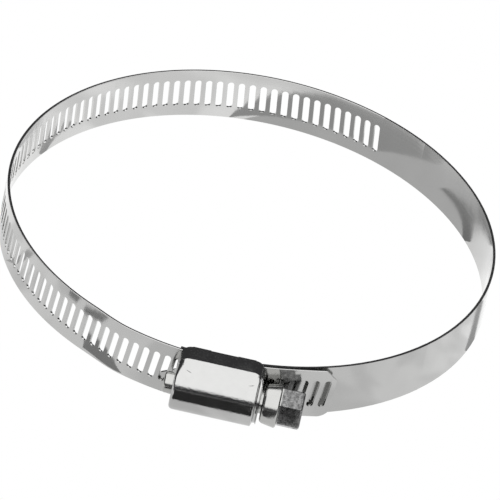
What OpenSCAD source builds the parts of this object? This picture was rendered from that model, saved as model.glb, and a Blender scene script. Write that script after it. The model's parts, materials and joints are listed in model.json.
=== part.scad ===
// Worm-drive hose clamp: a perforated steel band that runs through a pressed
// housing, where a captive screw drives it along by its slots.
// The origin is the centre of the ring and +Z is the ring's axis. The screw lies
// along X on the -Y side, with its hexagon head at +X.

/* [Band] */
// Inside diameter of the ring
ring_d = 108.9; // [90:0.1:150]
// Width of the band
band_w = 12.4; // [12:0.1:16]
// Thickness of the band
band_t = 0.6; // [0.5:0.05:0.8]

/* [Slots] */
// Distance from slot to slot, and the pitch of the screw's thread
slot_pitch = 2.54; // [2.1:0.01:3.1]
// Length of a slot across the band
slot_l = 7; // [5:0.1:8]
// Width of a slot along the band
slot_w = 1.5; // [1.2:0.05:1.6]
// Angle on the ring where the slots begin
slots_from = 63; // [40:1:100]

/* [Tail] */
// Length of the free end past the housing
tail_l = 15.73; // [12.5:0.01:28]
// Length of plain band past the last slot
tail_margin = 2; // [1.5:0.1:5]
// How far the free end springs away from its run through the housing
tail_spring = 0.95; // [0:0.05:2]
// Distance past the housing at which the free end begins to spring away
spring_gap = 3.15; // [2.6:0.05:8]
// Leg of the cut on the tail's upper corner
tail_chamfer = 2.4; // [1:0.1:4]
// Radius of the tail's lower corner
tail_round = 3; // [1:0.1:5]

/* [Housing] */
// Length of the housing along the screw
housing_l = 19.3; // [16:0.1:24]
// Place of the housing's middle along the screw
housing_x = 0.75; // [-2:0.05:2]
// Thickness of the housing's sheet
housing_wall = 0.75; // [0.6:0.05:1]
// Radius of the dome over the screw
dome_r = 6.35; // [6:0.05:7]
// How far in from the screw's axis the dome's flanks meet the straight sides
crease_drop = 0.3; // [0:0.05:1.5]
// Length of one folded tab
tab_l = 4; // [2:0.1:5]
// How far a tab reaches in under the band
tab_reach = 2.6; // [1:0.1:4]
// Distance from the housing's middle to the middle of a tab
tab_offset = 5; // [4:0.1:6]

/* [Saddle] */
// Length of the tongue left of the housing
tongue_l = 3.9; // [2.1:0.1:5]
// Slant of the tongue's upper edge, down towards its tip
tongue_slant = 33; // [0:1:40]
// Place across the band where that edge starts, in line with the housing's end
tongue_turn = 0.15; // [0:0.05:2]
// Radius of the tongue's lower corner
tongue_round = 2; // [0.5:0.1:3]
// Distance from the housing's middle to the seam between the saddle and the band
seam_offset = 5.2; // [3:0.1:7]
// Diameter of the round key that joins the band's fixed end to the saddle
key_d = 5; // [3:0.1:7]
// Width of the neck of that key
key_neck = 2.8; // [2:0.1:4]
// Distance from the seam to the middle of the key
key_depth = 2.4; // [2:0.1:4]
// Length of the band's climb out of the ring
rise_l = 10.1; // [8:0.1:14]
// Distance from the tongue's tip to the end of the climb, as room for tightening
rise_gap = 8.35; // [6:0.05:20]

/* [Screw] */
// Outside diameter of the thread
thread_d = 8; // [7:0.1:9]
// Depth of the thread
thread_depth = 0.75; // [0.7:0.05:1]
// Width of the thread at its crest
thread_crest = 0.5; // [0.4:0.05:0.6]
// Width of the thread at its root
thread_root = 0.8; // [0.7:0.05:0.9]
// Diameter of the plain tip and of the neck
journal_d = 4.8; // [4:0.1:5.5]
// Length of the tip past the housing
tip_l = 2.4; // [1:0.1:4]
// Diameter of the flange at its outer face
flange_d = 9.9; // [8:0.1:11.5]
// Thickness of the flange
flange_l = 3.8; // [1:0.1:5]
// Gap between the housing and the flange
flange_gap = 0.5; // [0.2:0.05:1]
// Width of the hexagon across its flats
hex_af = 7.94; // [6:0.01:9]
// Length of the hexagon
hex_l = 5.1; // [3:0.1:8]
// Depth of the chamfer on the hexagon's flats at its end
hex_chamfer = 0.35; // [0.1:0.05:0.8]
// Turn of the hexagon about the screw when the clamp lies as drawn
hex_turn = -49.2; // [-60:0.1:60]
// Width of the driver slot in the hexagon's end
driver_w = 1.2; // [0.8:0.1:1.6]
// Depth of the driver slot
driver_depth = 1.4; // [1:0.1:2.5]

/* [Clearances] */
// Gap between the running band and what it slides on
slide_gap = 0.1; // [0.05:0.05:0.2]
// Gap between the screw's journals and their holes
journal_gap = 0.1; // [0.05:0.05:0.3]
// Gap between the thread and the inside of the housing
thread_gap = 0.3; // [0.2:0.05:0.6]
// Gap between pieces that are fixed to each other
seam_gap = 0.05; // [0.02:0.01:0.1]

/* [Hidden] */
$fn = 96;
eps = 0.01;
steel = [0.78, 0.78, 0.77];
plated = [0.66, 0.66, 0.64];

// Radii of the band: the ring lies inside, the running strap one layer further out
ring_r = ring_d / 2;
plate_r = ring_r + band_t;
ring_mid = ring_r + band_t / 2;
strap_in = plate_r + slide_gap;
strap_mid = strap_in + band_t / 2;
strap_out = strap_in + band_t;
rise = strap_mid - ring_mid;

// Lengths along the band, from the screw's side (0) to the tail (+)
function arc_mm(angle, radius) = angle * PI / 180 * radius;
function arc_deg(length, radius) = length / radius * 180 / PI;

// Screw
thread_r = thread_d / 2;
core_r = thread_r - thread_depth;
journal_r = journal_d / 2;
screw_y = -(strap_in + thread_r);
lead_angle = atan(slot_pitch / (PI * thread_d));
housing_from = housing_x - housing_l / 2;
housing_to = housing_x + housing_l / 2;
thread_from = housing_from + housing_wall + journal_gap;
thread_to = housing_to - housing_wall - journal_gap;
flange_from = housing_to + flange_gap;
hex_from = flange_from + flange_l;
// Largest radius that clears the strap at a place along the screw
function clear_r(x) = -screw_y - sqrt(pow(strap_out, 2) - pow(x, 2)) - slide_gap;
flange_inner_r = min(flange_d / 2, clear_r(flange_from));
flange_outer_r = min(flange_d / 2, clear_r(hex_from));

// Angles along the ring: the climb ends short of the tongue, the tail starts past the housing
screw_side = 270;
rise_mid = (ring_mid + strap_mid) / 2;
rise_to = screw_side + arc_deg(housing_from - tongue_l, ring_mid) - arc_deg(rise_gap, strap_mid);
rise_from = rise_to - arc_deg(rise_l, rise_mid);
spring_from = screw_side + arc_deg(housing_to + spring_gap, strap_mid);
tail_to = screw_side + arc_deg(housing_to + tail_l, strap_mid);

// Slots, counted back from the tail
s_strap = arc_mm(rise_to - screw_side, strap_mid);
s_ring = s_strap - rise_l;
s_tail = housing_to + tail_l;
s_last = s_tail - tail_margin;
s_first = s_ring + arc_mm(slots_from - rise_from, ring_mid);
slot_count = floor((s_last - s_first) / slot_pitch) + 1;
function slot_s(i) = s_last - i * slot_pitch;
function at_angle(s) =
    s > s_strap ? screw_side + arc_deg(s, strap_mid) :
    s > s_ring ? rise_to + arc_deg(s - s_strap, rise_mid) :
    rise_from + arc_deg(s - s_ring, ring_mid);
// The slot nearest to the screw's middle, where a tooth of the thread stands
slot_phase = slot_s(round(s_last / slot_pitch));

// The band bends at the flex angles, each half way between two slots where there are slots
function web_near(angle) =
    let (s = s_ring + arc_mm(angle - rise_from, ring_mid))
    at_angle(slot_s(round((s_last - s) / slot_pitch - 0.5) + 0.5));
flex = [-60, -15, 30, web_near(70), web_near(112), web_near(154), web_near(196),
        web_near(rise_from - 1)];
flex_gap_deg = arc_deg(seam_gap, ring_mid);

// Housing
side_in = band_w / 2 + slide_gap;
side_out = side_in + housing_wall;
dome_in = dome_r - housing_wall;
dome_y = -screw_y + thread_r + thread_gap - dome_in;
crease_y = -screw_y - crease_drop;
// Turn from the middle of the dome at which the flat flank begins
flank_turn = atan2(side_out, crease_y - dome_y) - acos(dome_r / norm([side_out, crease_y - dome_y]));
crease_in_y = crease_y - housing_wall * (1 - sin(flank_turn)) / cos(flank_turn);
tab_t = band_t / 2;

// Joint between the saddle and the band's fixed end
seam_x = housing_x + seam_offset;
key_x = seam_x - key_depth;

// A flat outline (across the band, outward) drawn out along the screw
module along_x(from, to)
    translate([from, 0, 0])
        rotate([0, 90, 0])
            rotate([0, 0, 180])
                linear_extrude(to - from) children();

// A flat outline (across the ring plane's Z, along the band) cut through the band at an angle
module through_band(angle)
    rotate([0, 0, angle])
        translate([ring_r - 2, 0, 0])
            rotate([0, 90, 0])
                linear_extrude(6) children();

// Part of a ring between two angles
module ring_arc(from, to, inner, outer)
    rotate([0, 0, from])
        rotate_extrude(angle = to - from, $fn = 360)
            translate([inner, -band_w / 2])
                square([outer - inner, band_w]);

// Round-ended slot, leaning with the thread
module slot_outline()
    rotate(lead_angle) {
        square([slot_l - slot_w, slot_w], center = true);
        for (end = [-1, 1])
            translate([end * (slot_l - slot_w) / 2, 0])
                circle(d = slot_w, $fn = 24);
    }

// All slots whose middle lies between two angles
module slots(from, to)
    for (i = [0 : slot_count - 1])
        let (angle = at_angle(slot_s(i)))
            if (angle > from && angle < to)
                through_band(angle) slot_outline();

// Section k of the ring, from one flex angle to the next
module band_arc(k)
    color(steel)
        difference() {
            ring_arc(flex[k] + flex_gap_deg / 2, flex[k + 1] - flex_gap_deg / 2, ring_r, plate_r);
            slots(flex[k], flex[k + 1]);
        }

// Middle radius of the running strap at an angle
function smooth(u) = u < 0 ? 0 : u > 1 ? 1 : u * u * (3 - 2 * u);
function strap_r(angle) =
    ring_mid + rise * smooth((angle - rise_from) / (rise_to - rise_from))
    + tail_spring * pow(max(0, angle - spring_from) / (tail_to - spring_from), 2);

// Running strap: up out of the ring, through the housing and out to the free end
module band_tail() {
    from = flex[7] + flex_gap_deg / 2;
    steps = 56;
    angles = [for (i = [0 : steps]) from + (tail_to - from) * i / steps];
    inner = [for (a = angles) (strap_r(a) - band_t / 2) * [cos(a), sin(a)]];
    outer = [for (i = [steps : -1 : 0]) (strap_r(angles[i]) + band_t / 2)
                                          * [cos(angles[i]), sin(angles[i])]];
    color(steel)
        difference() {
            linear_extrude(band_w, center = true) polygon(concat(inner, outer));
            slots(from, tail_to);
            through_band(tail_to) tail_corners();
        }
}

// What is cut off the tail's two corners
module tail_corners() {
    top = -band_w / 2;
    polygon([[top - 1, 1], [top - 1, -tail_chamfer - 1], [top + tail_chamfer + 1, 1]]);
    translate([-top, 0])
        difference() {
            translate([-tail_round, -tail_round]) square(tail_round + 1);
            translate([-tail_round, -tail_round]) circle(tail_round);
        }
}

// Plate of one band thickness on the ring's own radius, between two places along the screw
module plate(from, to)
    ring_arc(screw_side + arc_deg(from, ring_mid), screw_side + arc_deg(to, ring_mid), ring_r, plate_r);

// Cut through the ring where the middle of the key lies
module through_key() through_band(screw_side + arc_deg(key_x, ring_mid)) children();

// Outline of the band's fixed end: its round key, the key's neck, and the band past the seam
module fixed_outline(grow) {
    circle(d = key_d + 2 * grow);
    translate([-key_neck / 2 - grow, 0])
        square([key_neck + 2 * grow, key_depth + 1]);
    translate([-band_w, key_depth - grow])
        square([2 * band_w, key_d]);
}

module band_fixed_end()
    color(steel)
        difference() {
            ring_arc(screw_side - 360 + arc_deg(key_x - key_d, ring_mid),
                     flex[0] - flex_gap_deg / 2, ring_r, plate_r);
            through_key()
                difference() {
                    translate([-band_w, -2 * key_d]) square([2 * band_w, 2 * key_d + key_depth]);
                    fixed_outline(0);
                }
            tabs(seam_gap);
        }

module saddle()
    color(steel)
        difference() {
            plate(housing_from - tongue_l, seam_x + 1);
            through_key() fixed_outline(seam_gap);
            tabs(seam_gap);
            through_band(screw_side + arc_deg(housing_from, ring_mid)) tongue_cut();
        }

// What is cut off the tongue: all above its slanted edge, and a rounded corner below
module tongue_cut() {
    past = tongue_l + 1;
    polygon([[-tongue_turn, 0], [past * tan(tongue_slant) - tongue_turn, -past],
             [-band_w, -past], [-band_w, 0]]);
    translate([band_w / 2 - tongue_round, tongue_round - tongue_l])
        difference() {
            translate([0, -tongue_round - 1]) square(tongue_round + 1);
            circle(tongue_round);
        }
}

// The housing's four tabs, folded flush under the edges of the saddle and the band
module tabs(grow)
    for (x = [housing_x - tab_offset, housing_x + tab_offset])
        for (side = [-1, 1])
            intersection() {
                difference() {
                    cylinder(r = plate_r + slide_gap, h = 2 * side_out, center = true, $fn = 360);
                    cylinder(r = ring_r - grow, h = 3 * side_out, center = true, $fn = 360);
                }
                tab_block(x, side, grow);
            }

module tab_block(x, side, grow)
    translate([x, 0, 0])
        scale([1, 1, side]) {
            translate([-tab_l / 2 - grow, -plate_r - 1, side_in - grow])
                cube([tab_l + 2 * grow, 3, side_out - side_in + 2 * grow]);
            intersection() {
                translate([-tab_l / 2 - grow, -plate_r - 1, side_in - tab_reach - grow])
                    cube([tab_l + 2 * grow, 3, tab_reach + housing_wall]);
                translate([-x, 0, 0])
                    cylinder(r = ring_r + tab_t + grow, h = 2 * side_out, center = true, $fn = 360);
            }
        }

// Outline across the screw: straight sides, flat flanks and the dome that joins them
module arch(side, crease, r)
    union() {
        translate([0, dome_y]) circle(r);
        polygon([for (p = [[side, 0], [side, crease],
                           [r * sin(flank_turn), dome_y + r * cos(flank_turn)]]) p,
                 for (p = [[r * sin(flank_turn), dome_y + r * cos(flank_turn)],
                           [side, crease], [side, 0]]) [-p[0], p[1]]]);
    }

module housing()
    color(steel) {
        difference() {
            along_x(housing_from, housing_to) arch(side_out, crease_y, dome_r);
            along_x(housing_from + housing_wall, housing_to - housing_wall)
                arch(side_in, crease_in_y, dome_in);
            cylinder(r = strap_out + 2 * slide_gap, h = 2 * side_in, center = true, $fn = 360);
            cylinder(r = plate_r, h = 4 * side_out, center = true, $fn = 360);
            translate([housing_from - 1, screw_y, 0])
                rotate([0, 90, 0])
                    cylinder(r = journal_r + journal_gap, h = housing_l + 2);
        }
        tabs(0);
    }

// Cross-section of the thread: one tooth round the core
function tooth(from, to, r, n) = [for (i = [0 : n]) let (a = from + (to - from) * i / n) r * [cos(a), sin(a)]];
module thread_outline() {
    crest = 180 * thread_crest / slot_pitch;
    root = 180 * thread_root / slot_pitch;
    polygon(concat(tooth(-crest, crest, thread_r, 6), tooth(root, 360 - root, core_r, 14)));
}

module screw_thread()
    translate([thread_from, screw_y, 0])
        rotate([0, 90, 0])
            rotate([0, 0, 90 - 360 * (slot_phase - thread_from) / slot_pitch])
                linear_extrude(thread_to - thread_from,
                               twist = -360 * (thread_to - thread_from) / slot_pitch,
                               slices = ceil(14 * (thread_to - thread_from) / slot_pitch), $fn = 12)
                    thread_outline();

// Round length of the screw, which may taper
module along_screw(from, to, r_from, r_to)
    translate([from, screw_y, 0])
        rotate([0, 90, 0])
            cylinder(r1 = r_from, r2 = r_to, h = to - from);

module screw()
    color(plated) {
        screw_thread();
        along_screw(housing_from - tip_l, thread_from + eps, journal_r, journal_r);
        along_screw(thread_to - eps, flange_from + eps, journal_r, journal_r);
        along_screw(flange_from, hex_from, flange_inner_r, flange_outer_r);
        hex_head();
    }

module hex_head()
    translate([hex_from, screw_y, 0])
        rotate([-hex_turn, 0, 0])
            difference() {
                rotate([0, 90, 0])
                    intersection() {
                        translate([0, 0, -eps])
                            cylinder(d = hex_af / cos(30), h = hex_l + eps, $fn = 6);
                        translate([0, 0, -eps])
                            cylinder(r1 = hex_af / 2 + hex_l, r2 = hex_af / 2 - hex_chamfer, h = hex_l + eps);
                    }
                translate([hex_l - driver_depth, -hex_af, -driver_w / 2])
                    cube([driver_depth + 1, 2 * hex_af, driver_w]);
            }

housing();
saddle();
screw();
band_fixed_end();
band_arc(0);  // band_arc_1
band_arc(1);  // band_arc_2
band_arc(2);  // band_arc_3
band_arc(3);  // band_arc_4
band_arc(4);  // band_arc_5
band_arc(5);  // band_arc_6
band_arc(6);  // band_arc_7
band_tail();
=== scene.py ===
import json
import math

import bmesh
import bpy
from mathutils import Matrix, Vector


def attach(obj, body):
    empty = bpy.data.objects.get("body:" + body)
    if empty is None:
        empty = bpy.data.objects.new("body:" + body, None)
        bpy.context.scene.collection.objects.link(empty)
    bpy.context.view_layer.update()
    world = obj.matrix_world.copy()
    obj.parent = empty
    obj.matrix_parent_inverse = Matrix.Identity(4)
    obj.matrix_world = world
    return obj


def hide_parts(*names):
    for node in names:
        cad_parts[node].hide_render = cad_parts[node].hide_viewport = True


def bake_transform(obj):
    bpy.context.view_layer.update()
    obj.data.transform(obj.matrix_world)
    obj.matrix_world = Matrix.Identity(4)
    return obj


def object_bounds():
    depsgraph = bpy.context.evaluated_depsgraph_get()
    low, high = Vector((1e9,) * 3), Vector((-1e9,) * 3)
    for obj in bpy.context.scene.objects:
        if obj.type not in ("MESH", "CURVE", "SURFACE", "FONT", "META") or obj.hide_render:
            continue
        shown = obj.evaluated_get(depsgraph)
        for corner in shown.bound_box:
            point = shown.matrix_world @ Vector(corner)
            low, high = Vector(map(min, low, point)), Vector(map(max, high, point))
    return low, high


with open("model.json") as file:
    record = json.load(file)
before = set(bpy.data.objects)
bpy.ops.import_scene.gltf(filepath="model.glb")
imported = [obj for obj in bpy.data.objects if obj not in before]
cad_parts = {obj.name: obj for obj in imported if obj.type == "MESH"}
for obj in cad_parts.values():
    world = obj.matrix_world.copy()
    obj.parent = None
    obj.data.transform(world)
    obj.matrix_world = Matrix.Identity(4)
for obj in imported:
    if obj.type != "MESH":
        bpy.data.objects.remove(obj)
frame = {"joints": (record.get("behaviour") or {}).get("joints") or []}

cad_low, cad_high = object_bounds()

# ---------------------------------------------------------------- camera
# A long lens looks down on the ring from the front, with the screw side nearest
# and the picture turned a little, so that the screw runs down to the right.
camera_elevation = math.radians(35.42)
camera_roll = math.radians(12.51)
camera_distance = 1.7802
camera_shift = (-0.000567, 0.002763)
camera_lens = 576.1

camera_back = Vector((0, -math.cos(camera_elevation), math.sin(camera_elevation)))
level_right = Vector((1, 0, 0))
level_up = Vector((0, math.sin(camera_elevation), math.cos(camera_elevation)))
camera_right = math.cos(camera_roll) * level_right + math.sin(camera_roll) * level_up
camera_up = math.cos(camera_roll) * level_up - math.sin(camera_roll) * level_right
camera_place = (camera_distance * camera_back - camera_shift[0] * camera_right
                - camera_shift[1] * camera_up)

camera_data = bpy.data.cameras.new("camera")
camera_data.lens = camera_lens
camera_data.sensor_width = 36
camera_data.clip_end = 20
camera = bpy.data.objects.new("camera", camera_data)
camera.matrix_world = (Matrix.Translation(camera_place)
                       @ Matrix((camera_right, camera_up, camera_back)).transposed().to_4x4())
bpy.context.scene.collection.objects.link(camera)
bpy.context.scene.camera = camera
bpy.context.scene.view_settings.view_transform = "Standard"

# ---------------------------------------------------------------- studio
# White paper under the clamp, one very large soft light overhead, and a dark room low
# down all round it. Grey cards lie on the paper where only the steel sees them: they and
# the dark room give the bright steel its dark bands and patches.
MM = 0.001
paper_size = 3.0
room_dark = "343435"
light_white = "FFFFFF"
light_strength = 1.6
light_from = math.radians(16)
light_to = math.radians(134)
light_edge = math.radians(4)
side_from, side_to = 0.55, 0.75
mottle_size = 30 * MM
table_front, table_back = -60 * MM, 45 * MM


def linear(hex_code):
    """A colour written in sRGB hex, as the linear values that a shader takes."""
    def channel(value):
        return value / 12.92 if value <= 0.04045 else ((value + 0.055) / 1.055) ** 2.4
    return [channel(int(hex_code[i:i + 2], 16) / 255) for i in (0, 2, 4)] + [1.0]


def add_node(tree, kind, inputs=None, **settings):
    """A shader node with its settings. An input is a value, or an output to link to it."""
    node = tree.nodes.new("ShaderNode" + kind)
    for name, value in settings.items():
        setattr(node, name, value)
    for name, value in (inputs or {}).items():
        if isinstance(value, bpy.types.NodeSocket):
            tree.links.new(value, node.inputs[name])
        else:
            node.inputs[name].default_value = value
    return node


def stage_plane(name, centre, size, material, camera_sees):
    """A flat card that isn't part of the object."""
    bm = bmesh.new()
    bmesh.ops.create_grid(bm, x_segments=1, y_segments=1, size=0.5)
    bmesh.ops.scale(bm, vec=(size[0], size[1], 1), verts=bm.verts)
    bmesh.ops.translate(bm, vec=centre, verts=bm.verts)
    mesh = bpy.data.meshes.new(name)
    bm.to_mesh(mesh)
    bm.free()
    mesh.materials.append(material)
    card = bpy.data.objects.new(name, mesh)
    bpy.context.scene.collection.objects.link(card)
    if not camera_sees:
        card.visible_camera = False
        card.visible_diffuse = False
        card.visible_shadow = False
    return card


def floor_shade(name, corners, hex_code, lift):
    """A grey card on the table, given by its corners in millimetres. Only the steel sees it."""
    card = stage_plane(name, (0, 0, 0), (1, 1), light_table(name, hex_code, 1.0), False)
    for vert, (x, y) in zip(card.data.vertices, corners):
        vert.co = (x * MM, y * MM, floor_z + lift * MM)


def matt_card(name, hex_code):
    """Matt paper or card."""
    material = bpy.data.materials.new(name)
    material.use_nodes = True
    shader = material.node_tree.nodes["Principled BSDF"]
    shader.inputs["Base Color"].default_value = linear(hex_code)
    shader.inputs["Roughness"].default_value = 0.9
    shader.inputs["Specular IOR Level"].default_value = 0.0
    return material


def light_table(name, hex_code, strength):
    """Paper lit from below, so that nothing casts a shadow on it."""
    material = bpy.data.materials.new(name)
    material.use_nodes = True
    tree = material.node_tree
    tree.nodes.clear()
    glow = add_node(tree, "Emission", {"Color": linear(hex_code), "Strength": strength})
    add_node(tree, "OutputMaterial", {"Surface": glow.outputs[0]})
    return material


def mottled_table(name):
    """What the steel sees of the table: brighter behind, with soft grey shapes on it."""
    material = light_table(name, light_white, 1.0)
    tree = material.node_tree
    glow = tree.nodes["Emission"]
    place = add_node(tree, "TexCoord").outputs["Object"]
    shapes = add_node(tree, "TexNoise", {"Vector": place, "Scale": 1 / mottle_size,
                                         "Detail": 2.5, "Distortion": 0.4})
    patch = add_node(tree, "MapRange", {"Value": shapes.outputs["Fac"],
                                        "From Min": 0.42, "From Max": 0.5,
                                        "To Min": 0.84, "To Max": 1.0},
                     interpolation_type="SMOOTHSTEP")
    depth = add_node(tree, "SeparateXYZ", {0: place})
    rise = add_node(tree, "MapRange", {"Value": depth.outputs["Y"],
                                       "From Min": table_front, "From Max": table_back,
                                       "To Min": 0.95, "To Max": 1.3})
    strength = add_node(tree, "Math", {0: patch.outputs[0], 1: rise.outputs[0]}, operation="MULTIPLY")
    tree.links.new(strength.outputs[0], glow.inputs["Strength"])
    return material


floor_z = cad_low.z
white_paper = light_table("white_paper", light_white, 1.0)
stage_plane("paper", (0, 0, floor_z), (paper_size, paper_size), white_paper, True)
stage_plane("mottle", (0, 0, floor_z + 0.1 * MM), (0.5, 0.5), mottled_table("mottled_paper"), False)

# The dark cards in front make the dark bands along the dome, the flange and the hexagon.
dark_card = matt_card("black_card", "303030")
stage_plane("front_flag", (0.05, -0.36, floor_z + 0.2 * MM), (1.2, 0.52), dark_card, False)
stage_plane("housing_flag", (-0.002, -0.088, floor_z + 0.3 * MM), (0.0255, 0.036), dark_card, False)
stage_plane("hexagon_flag", (0.0175, -0.0925, floor_z + 0.3 * MM), (0.0056, 0.02), dark_card, False)

# The grey cards beside the ring make the patches and stripes on the band.
floor_shade("back_pale", ((-9, 54.5), (55, 60), (23, 37), (47, 27)), "DADADA", 0.3)
floor_shade("back_deep", ((-10, 53), (20.2, 45.5), (4, 36), (23, 38)), "B6B6B6", 0.4)
floor_shade("right_post", ((47.8, 26.5), (46.8, 25.1), (32.3, 37.3), (31.7, 36.5)), "8C8C8C", 0.5)
floor_shade("right_door", ((53.5, -15.3), (52.3, -14.7), (63.8, 2.4), (60, 4.2)), "A8A8A8", 0.5)
floor_shade("left_post", ((-49.4, 23.9), (-48.6, 22.9), (-37.8, 34.4), (-37.2, 33.6)), "BEBEBE", 0.5)
floor_shade("left_door", ((-52, -19.5), (-53.5, -22.5), (-61.5, -22.5), (-61.5, -26)), "C4C4C4", 0.5)
floor_shade("front_low", ((-21, -52.6), (-31.3, -46.8), (-28.4, -53.6), (-37.1, -49.3)), "979797", 0.5)
floor_shade("front_high_1", ((-54, -46), (-51, -44.5), (-51, -51), (-47.5, -47.5)), "8A8A8A", 0.5)
floor_shade("front_high_2", ((-46.5, -51), (-44.5, -49.5), (-42, -56), (-40, -53)), "7E7E7E", 0.5)

world = bpy.data.worlds.new("studio")
bpy.context.scene.world = world
world.use_nodes = True
sky = world.node_tree
sky.nodes.clear()
direction = add_node(sky, "SeparateXYZ", {0: add_node(sky, "TexCoord").outputs["Generated"]})
towards_front = add_node(sky, "Math", {0: direction.outputs["Y"], 1: -1.0}, operation="MULTIPLY")
tilt = add_node(sky, "Math", {0: direction.outputs["Z"], 1: towards_front.outputs[0]},
                operation="ARCTAN2")
front_edge = add_node(sky, "MapRange", {"Value": tilt.outputs[0],
                                        "From Min": light_from - light_edge,
                                        "From Max": light_from + light_edge},
                      interpolation_type="SMOOTHSTEP")
back_edge = add_node(sky, "MapRange", {"Value": tilt.outputs[0],
                                       "From Min": light_to + light_edge,
                                       "From Max": light_to - light_edge},
                     interpolation_type="SMOOTHSTEP")
overhead = add_node(sky, "Math", {0: front_edge.outputs[0], 1: back_edge.outputs[0]},
                    operation="MULTIPLY")
sideways = add_node(sky, "Math", {0: direction.outputs["X"]}, operation="ABSOLUTE")
side_edge = add_node(sky, "MapRange", {"Value": sideways.outputs[0],
                                       "From Min": side_to, "From Max": side_from},
                     interpolation_type="SMOOTHSTEP")
light_area = add_node(sky, "Math", {0: overhead.outputs[0], 1: side_edge.outputs[0]},
                      operation="MULTIPLY")
sky_colour = add_node(sky, "Mix", {"Factor": light_area.outputs[0], "A": linear(room_dark),
                                   "B": linear(light_white)}, data_type="RGBA")
glow = add_node(sky, "Background", {"Color": sky_colour.outputs["Result"], "Strength": light_strength})
add_node(sky, "OutputWorld", {"Surface": glow.outputs[0]})

# ---------------------------------------------------------------- band
# One strip of rolled stainless steel, 12.4 mm by 0.6 mm, with slots pierced along it.
# Its fixed end is keyed into the saddle. It goes once round, climbs one thickness,
# runs through the housing over its own end, and its tail springs clear of the ring.
band_w = 12.4
band_t = 0.6
ring_mid = 54.75
strap_mid = 55.45
rise_mid = (ring_mid + strap_mid) / 2
slot_pitch = 2.54
slot_l = 7.0
slot_w = 1.5
thread_d = 8.0
slot_lean = math.atan(slot_pitch / (math.pi * thread_d))
screw_side = math.radians(270)
rise_from, rise_to = math.radians(237.474), math.radians(247.977)
spring_from, tail_to = math.radians(284.001), math.radians(297)
tail_spring = 0.95
tail_margin = 2.0
tail_chamfer = 2.4
tail_round = 3.0
slot_count = 88
slot_edge_round = 0.05
seam_x = 5.95
key_d = 5.0
key_neck = 2.8
key_depth = 2.4
tab_middles = (-4.25, 5.75)
tab_l = 4.0
tab_inner_edge = 3.85
tab_gap = 0.05
strip_uv = 100

s_strap = (rise_to - screw_side) * strap_mid
s_ring = s_strap - (rise_to - rise_from) * rise_mid
s_tail = (tail_to - screw_side) * strap_mid
s_last = s_tail - tail_margin
s_first = s_last - (slot_count - 1) * slot_pitch
s_under_screw = s_ring + (screw_side - 2 * math.pi - rise_from) * ring_mid


def at_angle(s):
    """Angle on the ring at a length s along the band."""
    if s > s_strap:
        return screw_side + s / strap_mid
    if s > s_ring:
        return rise_to + (s - s_strap) / rise_mid
    return rise_from + (s - s_ring) / ring_mid


def at_length(angle):
    """Length along the band at an angle on the ring."""
    if angle > rise_to:
        return (angle - screw_side) * strap_mid
    if angle > rise_from:
        return s_strap + (angle - rise_to) * rise_mid
    return s_ring + (angle - rise_from) * ring_mid


def strap_radius(angle):
    """Middle radius of the band at an angle: up out of the ring, and out at the tail."""
    climb = min(1, max(0, (angle - rise_from) / (rise_to - rise_from)))
    spring = max(0, angle - spring_from) / (tail_to - spring_from)
    return ring_mid + (strap_mid - ring_mid) * climb * climb * (3 - 2 * climb) + tail_spring * spring ** 2


def slotted_run(bm, s_start, count):
    """Flat strip with count slots, one pitch for each."""
    slot = bmesh.ops.create_circle(bm, segments=16, radius=slot_w / 2,
                                   matrix=Matrix.Rotation(math.pi / 16, 4, "Z"))["verts"]
    for vert in slot:
        vert.co.y += math.copysign((slot_l - slot_w) / 2, vert.co.y)
    slot_edges = [e for e in bm.edges if e.verts[0] in slot]
    long_sides = [e for e in slot_edges if e.calc_length() > slot_w]
    bmesh.ops.subdivide_edges(bm, edges=long_sides, cuts=2)
    bmesh.ops.rotate(bm, cent=(0, 0, 0), matrix=Matrix.Rotation(-slot_lean, 3, "Z"), verts=bm.verts)
    inner = bm.edges[:]
    corners = [bm.verts.new((x * slot_pitch / 2, y * band_w / 2, 0))
               for x, y in ((-1, -1), (1, -1), (1, 1), (-1, 1))]
    sides = [bm.edges.new((corners[k], corners[(k + 1) % 4])) for k in range(4)]
    bmesh.ops.subdivide_edges(bm, edges=[sides[0], sides[2]], cuts=6)
    bmesh.ops.subdivide_edges(bm, edges=[sides[1], sides[3]], cuts=2)
    bmesh.ops.bridge_loops(bm, edges=bm.edges[:])
    cell = bm.verts[:] + bm.edges[:] + bm.faces[:]
    for k in range(1, count):
        copy = bmesh.ops.duplicate(bm, geom=cell)["geom"]
        bmesh.ops.translate(bm, vec=(k * slot_pitch, 0, 0),
                            verts=[g for g in copy if isinstance(g, bmesh.types.BMVert)])
    bmesh.ops.translate(bm, vec=(s_start + slot_pitch / 2, 0, 0), verts=bm.verts)


def plain_run(bm, s_start, s_end):
    """Flat strip without slots, in lengths of about one pitch."""
    steps = max(1, round((s_end - s_start) / slot_pitch))
    grid = bmesh.ops.create_grid(bm, x_segments=steps, y_segments=3, size=0.5)["verts"]
    bmesh.ops.scale(bm, vec=(s_end - s_start, band_w, 1), verts=grid)
    bmesh.ops.translate(bm, vec=((s_start + s_end) / 2, 0, 0), verts=grid)


def cut_sheet(bm, point, normal):
    """Cuts away what lies on the side that normal points to."""
    bmesh.ops.bisect_plane(bm, geom=bm.verts[:] + bm.edges[:] + bm.faces[:], plane_co=point,
                           plane_no=normal, clear_outer=True)


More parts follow.
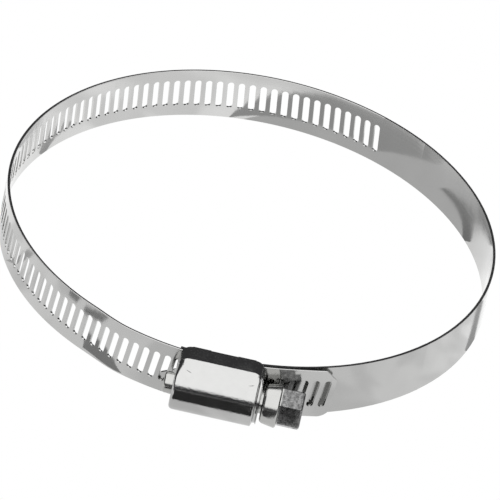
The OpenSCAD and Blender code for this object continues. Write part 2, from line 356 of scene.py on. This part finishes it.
def thicken(bm, thickness, rounding, keep_edge):
    """Gives a flat sheet its thickness, half each way, and rounds its edges."""
    bmesh.ops.recalc_face_normals(bm, faces=bm.faces)
    bmesh.ops.solidify(bm, geom=bm.faces[:], thickness=thickness)
    bmesh.ops.recalc_face_normals(bm, faces=bm.faces)
    middle = (min(v.co.z for v in bm.verts) + max(v.co.z for v in bm.verts)) / 2
    bmesh.ops.translate(bm, vec=(0, 0, -middle), verts=bm.verts)
    sharp = [e for e in bm.edges if len(e.link_faces) == 2
             and e.calc_face_angle(0) > math.radians(50) and not keep_edge(e)
             and abs(e.verts[0].co.z - e.verts[1].co.z) < thickness / 2]
    bmesh.ops.bevel(bm, geom=sharp, offset=rounding, offset_type="OFFSET", segments=2, profile=0.5,
                    affect="EDGES", material=-1, clamp_overlap=True)


def keyed_end(bm, s_seam):
    """Adds the round key and its neck to the end of a strip that begins at s_seam."""
    neck = [v for v in bm.verts if abs(v.co.x - s_seam) < 0.01 and abs(v.co.y) < band_w / 4]
    key = bmesh.ops.create_circle(bm, segments=36, radius=key_d / 2)["verts"]
    in_neck = [v for v in key if v.co.x > 0 and abs(v.co.y) < key_neck / 2]
    bmesh.ops.delete(bm, geom=in_neck, context="VERTS")
    key = [v for v in key if v.is_valid]
    bmesh.ops.translate(bm, vec=(s_seam - key_depth, 0, 0), verts=key)
    for vert in neck:
        vert.co.y = math.copysign(key_neck / 2, vert.co.y)
        end = next(v for v in key if len(v.link_edges) == 1 and v.co.y * vert.co.y > 0)
        bm.edges.new((vert, end))
    rim = [e for e in bm.edges if e.is_wire or set(e.verts) == set(neck)]
    bmesh.ops.edgeloop_fill(bm, edges=rim)
    for k in range(5):
        cut_line(bm, s_seam - k, "x")


def cut_line(bm, place, way):
    """Splits the sheet's faces along a straight line, at a place along it or across it."""
    point, normal = ((place, 0, 0), (1, 0, 0)) if way == "x" else ((0, place, 0), (0, 1, 0))
    everything = bm.verts[:] + bm.edges[:] + bm.faces[:]
    bmesh.ops.bisect_plane(bm, geom=everything, plane_co=point, plane_no=normal)


def tab_lines(bm, s_zero):
    """Splits the sheet along the outlines of the recesses that take the housing's tabs."""
    low, high = min(v.co.x for v in bm.verts), max(v.co.x for v in bm.verts)
    for middle in tab_middles:
        for side in (-1, 1):
            for gap in (0, tab_gap):
                place = s_zero + middle + side * (tab_l / 2 + gap)
                if low < place < high:
                    cut_line(bm, place, "x")
    for side in (-1, 1):
        for gap in (0, tab_gap):
            cut_line(bm, side * (tab_inner_edge - gap), "y")


def press_recesses(bm, s_zero):
    """Thins the sheet to half from inside where the housing's tabs lie under it."""
    for vert in bm.verts:
        near = min(abs(vert.co.x - s_zero - middle) for middle in tab_middles)
        if vert.co.z < 0 and near < tab_l / 2 + 0.01 and abs(vert.co.y) > tab_inner_edge - 0.01:
            vert.co.z = 0


def wrap(bm):
    """Bends a flat strip (length, width, thickness) on to the clamp's path, in metres."""
    grain = bm.loops.layers.uv.new("along_strip")
    for face in bm.faces:
        for loop in face.loops:
            loop[grain].uv = (loop.vert.co.x / strip_uv, loop.vert.co.y / strip_uv)
    for vert in bm.verts:
        angle = at_angle(vert.co.x)
        radius = strap_radius(angle) + vert.co.z
        vert.co = Vector((radius * math.cos(angle), radius * math.sin(angle), vert.co.y)) * MM


def new_piece(name, bm, material):
    """Makes the object from a finished mesh, smooth apart from its corners."""
    mesh = bpy.data.meshes.new(name)
    bm.to_mesh(mesh)
    bm.free()
    for face in mesh.polygons:
        face.use_smooth = True
    mesh.set_sharp_from_angle(angle=math.radians(60))
    mesh.materials.append(material)
    piece = bpy.data.objects.new(name, mesh)
    bpy.context.scene.collection.objects.link(piece)
    even = piece.modifiers.new("even_shading", "WEIGHTED_NORMAL")
    even.keep_sharp = True
    return piece


def rolled_stainless():
    """Bright rolled stainless strip: a near mirror, drawn out along its length by fine
    rolling lines, with a faint ripple that makes its reflections cloudy. Both are counted
    for every 100 mm, along the strip and then across it."""
    material = bpy.data.materials.new("rolled_stainless")
    material.use_nodes = True
    tree = material.node_tree
    shader = tree.nodes["Principled BSDF"]
    shader.inputs["Metallic"].default_value = 1.0
    rolling_lines, ripples = (6, 260, 1), (14, 9, 1)
    along = add_node(tree, "UVMap", uv_map="along_strip")
    lines_place = add_node(tree, "Mapping", {"Vector": along.outputs[0], "Scale": rolling_lines})
    lines = add_node(tree, "TexNoise", {"Vector": lines_place.outputs[0], "Scale": 1.0, "Detail": 3.0})
    ripple_place = add_node(tree, "Mapping", {"Vector": along.outputs[0], "Scale": ripples})
    ripple = add_node(tree, "TexNoise", {"Vector": ripple_place.outputs[0], "Scale": 1.0, "Detail": 1.5})
    tone = add_node(tree, "MapRange", {"Value": lines.outputs["Fac"], "To Min": 0.08, "To Max": 0.18})
    tree.links.new(tone.outputs[0], shader.inputs["Roughness"])
    colour = add_node(tree, "Mix", {"Factor": ripple.outputs["Fac"], "A": linear("B6B6B5"),
                                    "B": linear("C2C2C1")}, data_type="RGBA")
    tree.links.new(colour.outputs["Result"], shader.inputs["Base Color"])
    ripple_bump = add_node(tree, "Bump", {"Height": ripple.outputs["Fac"], "Strength": 0.25,
                                          "Distance": 0.2 * MM})
    line_bump = add_node(tree, "Bump", {"Height": lines.outputs["Fac"], "Strength": 0.15,
                                        "Distance": 0.02 * MM, "Normal": ripple_bump.outputs[0]})
    tree.links.new(line_bump.outputs[0], shader.inputs["Normal"])
    return material


strip_steel = rolled_stainless()
flex_angles = []
for joint in frame["joints"]:
    if joint["name"].startswith("band_flex"):
        angle = math.atan2(joint["pos_m"][1], joint["pos_m"][0])
        flex_angles.append(angle if angle > math.radians(-89) else angle + 2 * math.pi)


def web_before(s):
    """The nearest place between two slots, or s itself where the band is plain."""
    if s < s_first - slot_pitch:
        return s
    return s_first + (round((s - s_first) / slot_pitch - 0.5) + 0.5) * slot_pitch


def band_piece(name, s_start, s_end, is_tail=False, is_keyed=False):
    """The band from one length to another, with its slots."""
    bm = bmesh.new()
    slots_start = s_first - slot_pitch / 2
    slots_end = s_last + slot_pitch / 2
    first = max(0, round((s_start - slots_start) / slot_pitch))
    last = round((min(s_end, slots_end) - slots_start) / slot_pitch)
    if last > first:
        slotted_run(bm, slots_start + first * slot_pitch, last - first)
    if s_start < slots_start:
        plain_run(bm, s_start, min(s_end, slots_start))
    if is_tail:
        plain_run(bm, slots_end, s_end)
        cut_sheet(bm, (s_end - tail_chamfer, band_w / 2, 0), (1, 1, 0))
        for k in range(7):
            turn = math.radians(90 * (k + 0.5) / 7)
            lean = Vector((math.sin(turn), -math.cos(turn), 0))
            centre = Vector((s_end - tail_round, -band_w / 2 + tail_round, 0))
            cut_sheet(bm, centre + lean * tail_round, lean)
    bmesh.ops.remove_doubles(bm, verts=bm.verts, dist=0.01)
    if is_keyed:
        keyed_end(bm, s_start)
        tab_lines(bm, s_under_screw)

    def at_seam(edge):
        x = [vert.co.x for vert in edge.verts]
        return (max(x) < s_start + 0.01 and not is_keyed) or (min(x) > s_end - 0.01 and not is_tail)
    thicken(bm, band_t, slot_edge_round, at_seam)
    if is_keyed:
        press_recesses(bm, s_under_screw)
    wrap(bm)
    return new_piece(name, bm, strip_steel)


blend_from = math.radians(-74)
blend_to = math.radians(247)
between = [(a + b) / 2 for a, b in zip(flex_angles, flex_angles[1:])]
middles = [blend_from] + between + [blend_to]
for k in range(8):
    s_start = s_under_screw + seam_x if k == 0 else web_before(at_length(middles[k]))
    s_end = web_before(at_length(middles[k + 1]))
    bend = band_piece(f"band_bend_{k + 1}", s_start, s_end, is_keyed=k == 0)
    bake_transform(bend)
    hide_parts(f"band_arc_{k}" if k > 0 else "band_fixed_end")
tail = band_piece("band_tail_strip", web_before(at_length(middles[8])), s_tail, is_tail=True)
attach(tail, "band_tail")
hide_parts("band_tail")

# ---------------------------------------------------------------- saddle
# A plate of the same strip under the screw. Its keyhole holds the band's fixed end, and
# its slanted tongue reaches out on the left to carry the band as it climbs.
housing_from, housing_to = -8.9, 10.4
tongue_l = 3.9
tongue_slant = math.radians(33)
tongue_turn = 0.15
tongue_round = 2.0


def saddle_plate():
    bm = bmesh.new()
    half = band_w / 2
    seam = seam_x - tab_gap
    tip = housing_from - tongue_l
    key = bmesh.ops.create_circle(bm, segments=36, radius=key_d / 2 + tab_gap)["verts"]
    in_neck = [v for v in key if v.co.x > 0 and abs(v.co.y) < key_neck / 2]
    bmesh.ops.delete(bm, geom=in_neck, context="VERTS")
    key = [v for v in key if v.is_valid]
    bmesh.ops.translate(bm, vec=(seam_x - key_depth, 0, 0), verts=key)
    ends = sorted((v for v in key if len(v.link_edges) == 1), key=lambda v: -v.co.y)
    neck = key_neck / 2 + tab_gap
    corners = [(seam, neck), (seam, half), (housing_from, half), (housing_from, tongue_turn),
               (tip, tongue_turn - tongue_l * math.tan(tongue_slant)),
               (tip, -half), (seam, -half), (seam, -neck)]
    around = [ends[0]] + [bm.verts.new((x, y, 0)) for x, y in corners] + [ends[1]]
    for a, b in zip(around, around[1:]):
        bm.edges.new((a, b))
    tongue_corner = around[6]
    bmesh.ops.bevel(bm, geom=[tongue_corner], offset=tongue_round, offset_type="OFFSET", segments=8,
                    profile=0.5, affect="VERTICES", material=-1)
    bmesh.ops.triangle_fill(bm, use_beauty=True, edges=bm.edges[:])
    for place in range(math.ceil(tip), math.floor(seam)):
        cut_line(bm, place, "x")
    tab_lines(bm, 0)
    thicken(bm, band_t, slot_edge_round, lambda edge: False)
    press_recesses(bm, 0)
    bmesh.ops.translate(bm, vec=(s_under_screw, 0, 0), verts=bm.verts)
    wrap(bm)
    return new_piece("saddle_plate", bm, strip_steel)


saddle = saddle_plate()
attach(saddle, "housing")
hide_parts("saddle")

# ---------------------------------------------------------------- housing
# A cup drawn from 0.75 mm stainless sheet over the screw: straight sides, flat flanks and
# a round dome. Its ends are necked in round the screw, which left two creased dents on
# each flank, and four tabs fold under the band to hold everything together.
wall = 0.75
side_z = 7.05
foot_out = 54.3
screw_out = 59.15
crease_out = 58.85
dome_out = 57.85
dome_r = 6.35
crease_round = 0.35
flank_turn = math.atan2(side_z, crease_out - dome_out) - math.acos(
    dome_r / math.hypot(side_z, crease_out - dome_out))
end_opening_out = 56.0
dome_round, side_round = 0.8, 2.6
mouth_from, mouth_deep, mouth_flat = 9.2, 9.7, 10.0
mouth_depth, mouth_lip = 1.0, 0.35
dent_rows = ((-3.9, -3.5, 0.62), (5.7, 3.5, 0.42))
dent_z = 5.22
dent_depth, dent_steep, dent_fade = 0.34, 0.32, 1.3
tab_leg = 0.8
tab_play = 0.02
hole_r = 2.55


def housing_section(bm):
    """Open outline of the sheet across the screw, from one foot over the dome to the other."""
    dome = bmesh.ops.create_circle(bm, segments=160, radius=dome_r,
                                   matrix=Matrix.Rotation(math.radians(90), 4, "Y"))["verts"]
    low = [v for v in dome if -v.co.y < dome_r * math.cos(flank_turn) + 0.01]
    bmesh.ops.delete(bm, geom=low, context="VERTS")
    dome = [v for v in dome if v.is_valid]
    bmesh.ops.translate(bm, vec=(0, -dome_out, 0), verts=dome)
    runs = []
    for end in [v for v in dome if len(v.link_edges) == 1]:
        side = math.copysign(1, end.co.z)
        chain = [end] + [bm.verts.new((0, -out, side * z)) for out, z in (
            (crease_out, side_z), (end_opening_out, side_z), (foot_out, side_z))]
        runs.append([bm.edges.new((a, b)) for a, b in zip(chain, chain[1:])])
    for edges, cuts in zip(zip(*runs), (36, 10, 3)):
        bmesh.ops.subdivide_edges(bm, edges=edges, cuts=cuts)
    creases = [v for v in bm.verts
               if abs(abs(v.co.z) - side_z) < 0.01 and abs(v.co.y + crease_out) < 0.01]
    bmesh.ops.bevel(bm, geom=creases, offset=crease_round, offset_type="OFFSET", segments=4,
                    profile=0.5, affect="VERTICES", material=-1)


def ease(value):
    """Smooth step from 0 to 1."""
    value = min(1, max(0, value))
    return value * value * (3 - 2 * value)


def drawn_in(x, z):
    """How far the sheet is necked in towards the screw: rounded ends, and a grooved mouth."""
    to_side = ease((abs(z) - 4.2) / 2.8)
    inward = 0
    left_round = dome_round + (side_round - dome_round) * to_side
    for distance, radius in ((x - housing_from, left_round),
                             (housing_to - x, 0.01 + side_round * to_side)):
        over = max(0, radius - distance)
        inward = max(inward, radius - math.sqrt(max(0, radius ** 2 - over ** 2)))
    mouth = (mouth_depth * ease((x - mouth_from) / (mouth_deep - mouth_from))
             - mouth_lip * ease((x - mouth_flat) / (housing_to - mouth_flat)))
    return max(inward, mouth)


def dent(x, z):
    """Depth of the creased dents, which are sharp on the side of the dome."""
    depth = 0
    for start, length, rise in dent_rows:
        along = (x - start) / length
        if 0 < along < 1:
            over = abs(z) - (dent_z + rise * along ** 2)
            shape = min(1, max(0, over / dent_steep + 0.3)) * max(0, 1 - max(0, over) / dent_fade)
            depth += dent_depth * math.sin(math.pi * along ** 1.3) * shape
    return depth


def press_housing(bm):
    """Draws the ends in and presses the dents."""
    for vert in bm.verts:
        x, out, z = vert.co.x, -vert.co.y, vert.co.z
        reach = Vector((out - screw_out, z))
        inward = drawn_in(x, z) + (dent(x, z) if out > crease_out else 0)
        out, z = Vector((screw_out, 0)) + reach * (1 - inward / reach.length)
        vert.co.y, vert.co.z = -out, z


def close_end(bm, x):
    """End wall from the drawn-in sheet down to the hole that the screw turns in."""
    rim = [e for e in bm.edges if e.is_boundary and all(abs(v.co.x - x) < 0.01 for v in e.verts)
           and max(-v.co.y for v in e.verts) > end_opening_out - 0.6]
    rim_verts = {v for e in rim for v in e.verts}
    feet = [v for v in rim_verts if sum(e in rim for e in v.link_edges) == 1]
    rim.append(bm.edges.new(feet))
    hole = bmesh.ops.create_circle(bm, segments=48, radius=hole_r, matrix=Matrix.Translation(
        (x, -screw_out, 0)) @ Matrix.Rotation(math.radians(90), 4, "Y"))["verts"]
    hole_edges = list({e for v in hole for e in v.link_edges})
    bmesh.ops.bridge_loops(bm, edges=rim + hole_edges)


def housing_tabs(bm):
    """Four tabs, bent down from the feet and in under the band."""
    leg_z = side_z - wall / 2
    for middle in tab_middles:
        for side in (-1, 1):
            leg = bmesh.ops.create_cube(bm, size=1)["verts"]
            bmesh.ops.scale(bm, vec=(tab_l, tab_leg, wall - 2 * tab_play), verts=leg)
            bmesh.ops.translate(bm, vec=(middle, -foot_out - tab_leg / 4, side * leg_z), verts=leg)
            lap = bmesh.ops.create_grid(bm, x_segments=6, y_segments=2, size=0.5)["verts"]
            bmesh.ops.scale(bm, vec=(tab_l, leg_z - tab_inner_edge, 1), verts=lap)
            bmesh.ops.translate(bm, vec=(middle, side * (leg_z + tab_inner_edge) / 2, 0), verts=lap)
            lap_faces = list({f for v in lap for f in v.link_faces})
            thick = bmesh.ops.solidify(bm, geom=lap_faces, thickness=band_t / 2 - 0.01)["geom"]
            lap_all = {v for f in lap_faces for v in f.verts}
            lap_all |= {g for g in thick if isinstance(g, bmesh.types.BMVert)}
            low_z = min(v.co.z for v in lap_all)
            for vert in lap_all:
                radius = ring_mid - band_t / 2 + vert.co.z - low_z
                turn = vert.co.x / ring_mid
                vert.co = (radius * math.sin(turn), -radius * math.cos(turn), vert.co.y)


def inside_of(vert):
    """Where the sheet's inner face lies under a point of its outer face."""
    x, out, z = vert.co.x, -vert.co.y, vert.co.z
    along = min(housing_to - wall, max(housing_from + wall, x))
    reach = Vector((out - screw_out, z))
    if reach.length < hole_r + 0.05:
        return (along, -out, z)
    if out < crease_out:
        return (along, -out, z - math.copysign(wall, z))
    out, z = Vector((screw_out, 0)) + reach * (1 - wall / reach.length)
    return (along, -out, z)


def pressed_housing():
    bm = bmesh.new()
    housing_section(bm)
    bmesh.ops.translate(bm, vec=(housing_from, 0, 0), verts=bm.verts)
    steps = 193
    bmesh.ops.spin(bm, geom=bm.verts[:] + bm.edges[:], cent=(0, 0, 0), axis=(1, 0, 0),
                   dvec=((housing_to - housing_from) / steps, 0, 0), angle=0, steps=steps,
                   use_duplicate=False)
    press_housing(bm)
    close_end(bm, housing_from)
    close_end(bm, housing_to)
    bmesh.ops.recalc_face_normals(bm, faces=bm.faces)
    bm.normal_update()
    inner = bmesh.ops.duplicate(bm, geom=bm.faces[:])["geom"]
    inner_verts = [g for g in inner if isinstance(g, bmesh.types.BMVert)]
    inner_faces = [g for g in inner if isinstance(g, bmesh.types.BMFace)]
    for vert in inner_verts:
        vert.co = inside_of(vert)
    bmesh.ops.reverse_faces(bm, faces=inner_faces)
    rims = [e for e in bm.edges if e.is_boundary]
    at_hole = [e for e in rims
               if all(math.hypot(v.co.y + screw_out, v.co.z) < hole_r + 0.05 for v in e.verts)]
    left_hole = [e for e in at_hole if e.verts[0].co.x < 0]
    right_hole = [e for e in at_hole if e.verts[0].co.x > 0]
    for rim in (left_hole, right_hole, [e for e in rims if e not in at_hole]):
        bmesh.ops.bridge_loops(bm, edges=rim)
    return bm


def pressed_steel(name, hex_code, roughness, grain_mm, grain_depth):
    """Steel that a press or a die has stretched: bright, but pulled to a fine orange peel
    that frays the edges of its reflections, with faint duller rubs."""
    material = bpy.data.materials.new(name)
    material.use_nodes = True
    tree = material.node_tree
    shader = tree.nodes["Principled BSDF"]
    shader.inputs["Metallic"].default_value = 1.0
    place = add_node(tree, "TexCoord")
    peel = add_node(tree, "TexNoise", {"Vector": place.outputs["Object"], "Scale": 1 / (grain_mm * MM),
                                       "Detail": 2.0, "Roughness": 0.55})
    rubs = add_node(tree, "TexNoise", {"Vector": place.outputs["Object"], "Scale": 1 / (3 * MM),
                                       "Detail": 3.0, "Roughness": 0.6})
    tone = add_node(tree, "MapRange", {"Value": rubs.outputs["Fac"], "From Min": 0.35, "From Max": 0.75,
                                       "To Min": roughness, "To Max": roughness * 2.2})
    tree.links.new(tone.outputs[0], shader.inputs["Roughness"])
    pale = linear(hex_code)
    dull = [channel * 0.9 for channel in pale[:3]] + [1.0]
    colour = add_node(tree, "Mix", {"Factor": rubs.outputs["Fac"], "A": pale, "B": dull}, data_type="RGBA")
    tree.links.new(colour.outputs["Result"], shader.inputs["Base Color"])
    bump = add_node(tree, "Bump", {"Height": peel.outputs["Fac"], "Strength": 0.5, "Distance": grain_depth})
    tree.links.new(bump.outputs[0], shader.inputs["Normal"])
    return material


def finish_housing():
    bm = pressed_housing()
    housing_tabs(bm)
    bmesh.ops.recalc_face_normals(bm, faces=bm.faces)
    bmesh.ops.scale(bm, vec=(MM, MM, MM), verts=bm.verts)
    drawn_stainless = pressed_steel("drawn_stainless", "BEBEBD", 0.07, 0.35, 0.05 * MM)
    return new_piece("housing_shell", bm, drawn_stainless)


housing = finish_housing()
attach(housing, "housing")
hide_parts("housing")

# ---------------------------------------------------------------- screw
# A cold-headed steel screw: a plain tip, a rolled thread, a conical flange that backs on
# to the housing, and a hexagon with a driver slot. It is bright like the band, except for
# the hexagon's flats, which are dull and mottled.
tip_from = -11.0
tip_r = 2.4
thread_from, thread_to = -8.05, 9.55
thread_r, core_r = thread_d / 2, 3.25
crest_w, root_w = 0.5, 0.8
tooth_x = s_last - round(s_last / slot_pitch) * slot_pitch
flange_from, flange_to = 10.9, 14.7
flange_r = (4.37, 4.94)
hex_to = 19.8
hex_flats = 7.94
hex_turn = math.radians(-49.2)
corner_round, end_round = 0.3, 0.55
driver_w, driver_depth = 1.2, 1.4
skin_mm = 0.8


def turned(bm, profile, segments):
    """Turns a profile of (along, radius) round the screw's axis."""
    chain = [bm.verts.new((x, -screw_out - r, 0)) for x, r in profile]
    lines = [bm.edges.new((a, b)) for a, b in zip(chain, chain[1:])]
    bmesh.ops.spin(bm, geom=chain + lines, cent=(0, -screw_out, 0), axis=(1, 0, 0), angle=2 * math.pi,
                   steps=segments, use_merge=True, use_duplicate=False)
    bmesh.ops.remove_doubles(bm, verts=bm.verts, dist=0.0001)


def rolled_thread(bm):
    """One right-handed tooth wound round the core."""
    turns = math.floor((thread_to - thread_from) / slot_pitch)
    start = tooth_x - slot_pitch * math.floor((tooth_x - thread_from) / slot_pitch)
    sunk_r = core_r - 0.1
    tooth = [bm.verts.new((start + along, -screw_out + r, 0)) for along, r in (
        (-root_w / 2, sunk_r), (-crest_w / 2, thread_r), (crest_w / 2, thread_r), (root_w / 2, sunk_r))]
    lines = [bm.edges.new((a, b)) for a, b in zip(tooth, tooth[1:] + tooth[:1])]
    steps_each = 36
    ends = bmesh.ops.spin(bm, geom=tooth + lines, cent=(0, -screw_out, 0), axis=(1, 0, 0),
                          dvec=(slot_pitch / steps_each, 0, 0), angle=2 * math.pi * turns,
                          steps=steps_each * turns, use_duplicate=False)["geom_last"]
    bmesh.ops.edgeloop_fill(bm, edges=lines)
    bmesh.ops.edgeloop_fill(bm, edges=[g for g in ends if isinstance(g, bmesh.types.BMEdge)])


def hexagon(bm):
    """Hexagon with rounded corners, a chamfered end and a driver slot, standing on its base."""
    length = hex_to - flange_to
    corner_r = hex_flats / 2 / math.cos(math.pi / 6)
    bmesh.ops.create_cone(bm, cap_ends=True, segments=6, radius1=corner_r, radius2=corner_r,
                          depth=length, matrix=Matrix.Rotation(math.pi / 6, 4, "Z"))
    upright = [e for e in bm.edges if abs(e.verts[0].co.z - e.verts[1].co.z) > length / 2]
    bmesh.ops.bevel(bm, geom=upright, offset=corner_round, offset_type="OFFSET", segments=3, profile=0.5,
                    affect="EDGES", material=-1)
    top = [e for e in bm.edges if all(v.co.z > length / 2 - 0.01 for v in e.verts)]
    bmesh.ops.bevel(bm, geom=top, offset=end_round, offset_type="OFFSET", segments=4, profile=0.5,
                    affect="EDGES", material=-1)
    floor = length / 2 - driver_depth
    for point, normal in (((-driver_w / 2, 0, 0), (1, 0, 0)), ((driver_w / 2, 0, 0), (1, 0, 0)),
                          ((0, 0, floor), (0, 0, 1))):
        bmesh.ops.bisect_plane(bm, geom=bm.verts[:] + bm.edges[:] + bm.faces[:], plane_co=point,
                               plane_no=normal)
    gone = [f for f in bm.faces if abs(f.calc_center_median().x) < driver_w / 2
            and f.calc_center_median().z > floor]
    bmesh.ops.delete(bm, geom=gone, context="FACES")
    rim = [e for e in bm.edges if e.is_boundary]
    corners = sorted({v for e in rim for v in e.verts if abs(v.co.z - floor) < 0.001
                      and abs(abs(v.co.x) - driver_w / 2) < 0.001}, key=lambda v: (v.co.x, v.co.y))
    feet = [bm.edges.new(corners[:2]), bm.edges.new(corners[2:])]
    for foot in feet:
        side = foot.verts[0].co.x
        wall_edges = [e for e in rim if all(abs(v.co.x - side) < 0.001 for v in e.verts)]
        bmesh.ops.edgeloop_fill(bm, edges=wall_edges + [foot])
    across = [e for e in rim if e.is_valid and e.is_boundary]
    bmesh.ops.edgeloop_fill(bm, edges=across + feet)


def headed_steel():
    """Zinc-plated steel, bright where it was rolled or turned. The flats of the hexagon keep
    the coarse, dull skin that the heading die gave them."""
    material = pressed_steel("plated_steel", "B8B8B6", 0.12, 0.25, 0.02 * MM)
    tree = material.node_tree
    shader = tree.nodes["Principled BSDF"]
    bright = shader.inputs["Base Color"].links[0].from_socket
    smooth = shader.inputs["Roughness"].links[0].from_socket
    place = add_node(tree, "TexCoord").outputs["Object"]
    along = add_node(tree, "SeparateXYZ", {0: place})
    on_flats = add_node(tree, "MapRange", {"Value": along.outputs["X"], "From Min": (flange_to + 0.1) * MM,
                                           "From Max": (flange_to + 0.3) * MM})
    skin = add_node(tree, "TexNoise", {"Vector": place, "Scale": 1 / (skin_mm * MM), "Detail": 3.0,
                                       "Roughness": 0.7})
    mottled = add_node(tree, "MapRange", {"Value": skin.outputs["Fac"], "From Min": 0.38, "From Max": 0.66})
    dull = add_node(tree, "Mix", {"Factor": mottled.outputs[0], "A": linear("525252"), "B": linear("8E8E8E")},
                    data_type="RGBA")
    colour = add_node(tree, "Mix", {"Factor": on_flats.outputs[0], "A": bright, "B": dull.outputs["Result"]},
                      data_type="RGBA")
    tree.links.new(colour.outputs["Result"], shader.inputs["Base Color"])
    tone = add_node(tree, "Mix", {"Factor": on_flats.outputs[0], "A": smooth, "B": 0.2})
    tree.links.new(tone.outputs["Result"], shader.inputs["Roughness"])
    return material


def screw_bolt():
    bm = bmesh.new()
    hexagon(bm)
    bmesh.ops.rotate(bm, cent=(0, 0, 0), matrix=Matrix.Rotation(math.radians(90), 3, "Y"), verts=bm.verts)
    bmesh.ops.rotate(bm, cent=(0, 0, 0), matrix=Matrix.Rotation(-hex_turn, 3, "X"), verts=bm.verts)
    bmesh.ops.translate(bm, vec=((flange_to + hex_to) / 2, -screw_out, 0), verts=bm.verts)
    turned(bm, [(tip_from, 0), (tip_from, tip_r - 0.5), (tip_from + 0.12, tip_r - 0.22),
                (tip_from + 0.35, tip_r - 0.05), (tip_from + 0.6, tip_r), (thread_from - 0.05, tip_r),
                (thread_from, core_r), (thread_to, core_r), (thread_to + 0.05, tip_r),
                (flange_from, tip_r), (flange_from, flange_r[0] - 0.8),
                (flange_from + 0.1, flange_r[0] - 0.45), (flange_from + 0.35, flange_r[0] - 0.15),
                (flange_from + 0.8, flange_r[0] + 0.02),
                (flange_to - 0.5, flange_r[1] - 0.12), (flange_to - 0.2, flange_r[1] - 0.2),
                (flange_to, flange_r[1] - 0.5), (flange_to, 0)], 96)
    rolled_thread(bm)
    bmesh.ops.recalc_face_normals(bm, faces=bm.faces)
    bmesh.ops.scale(bm, vec=(MM, MM, MM), verts=bm.verts)
    return new_piece("screw_bolt", bm, headed_steel())


screw = screw_bolt()
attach(screw, "screw")
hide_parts("screw")
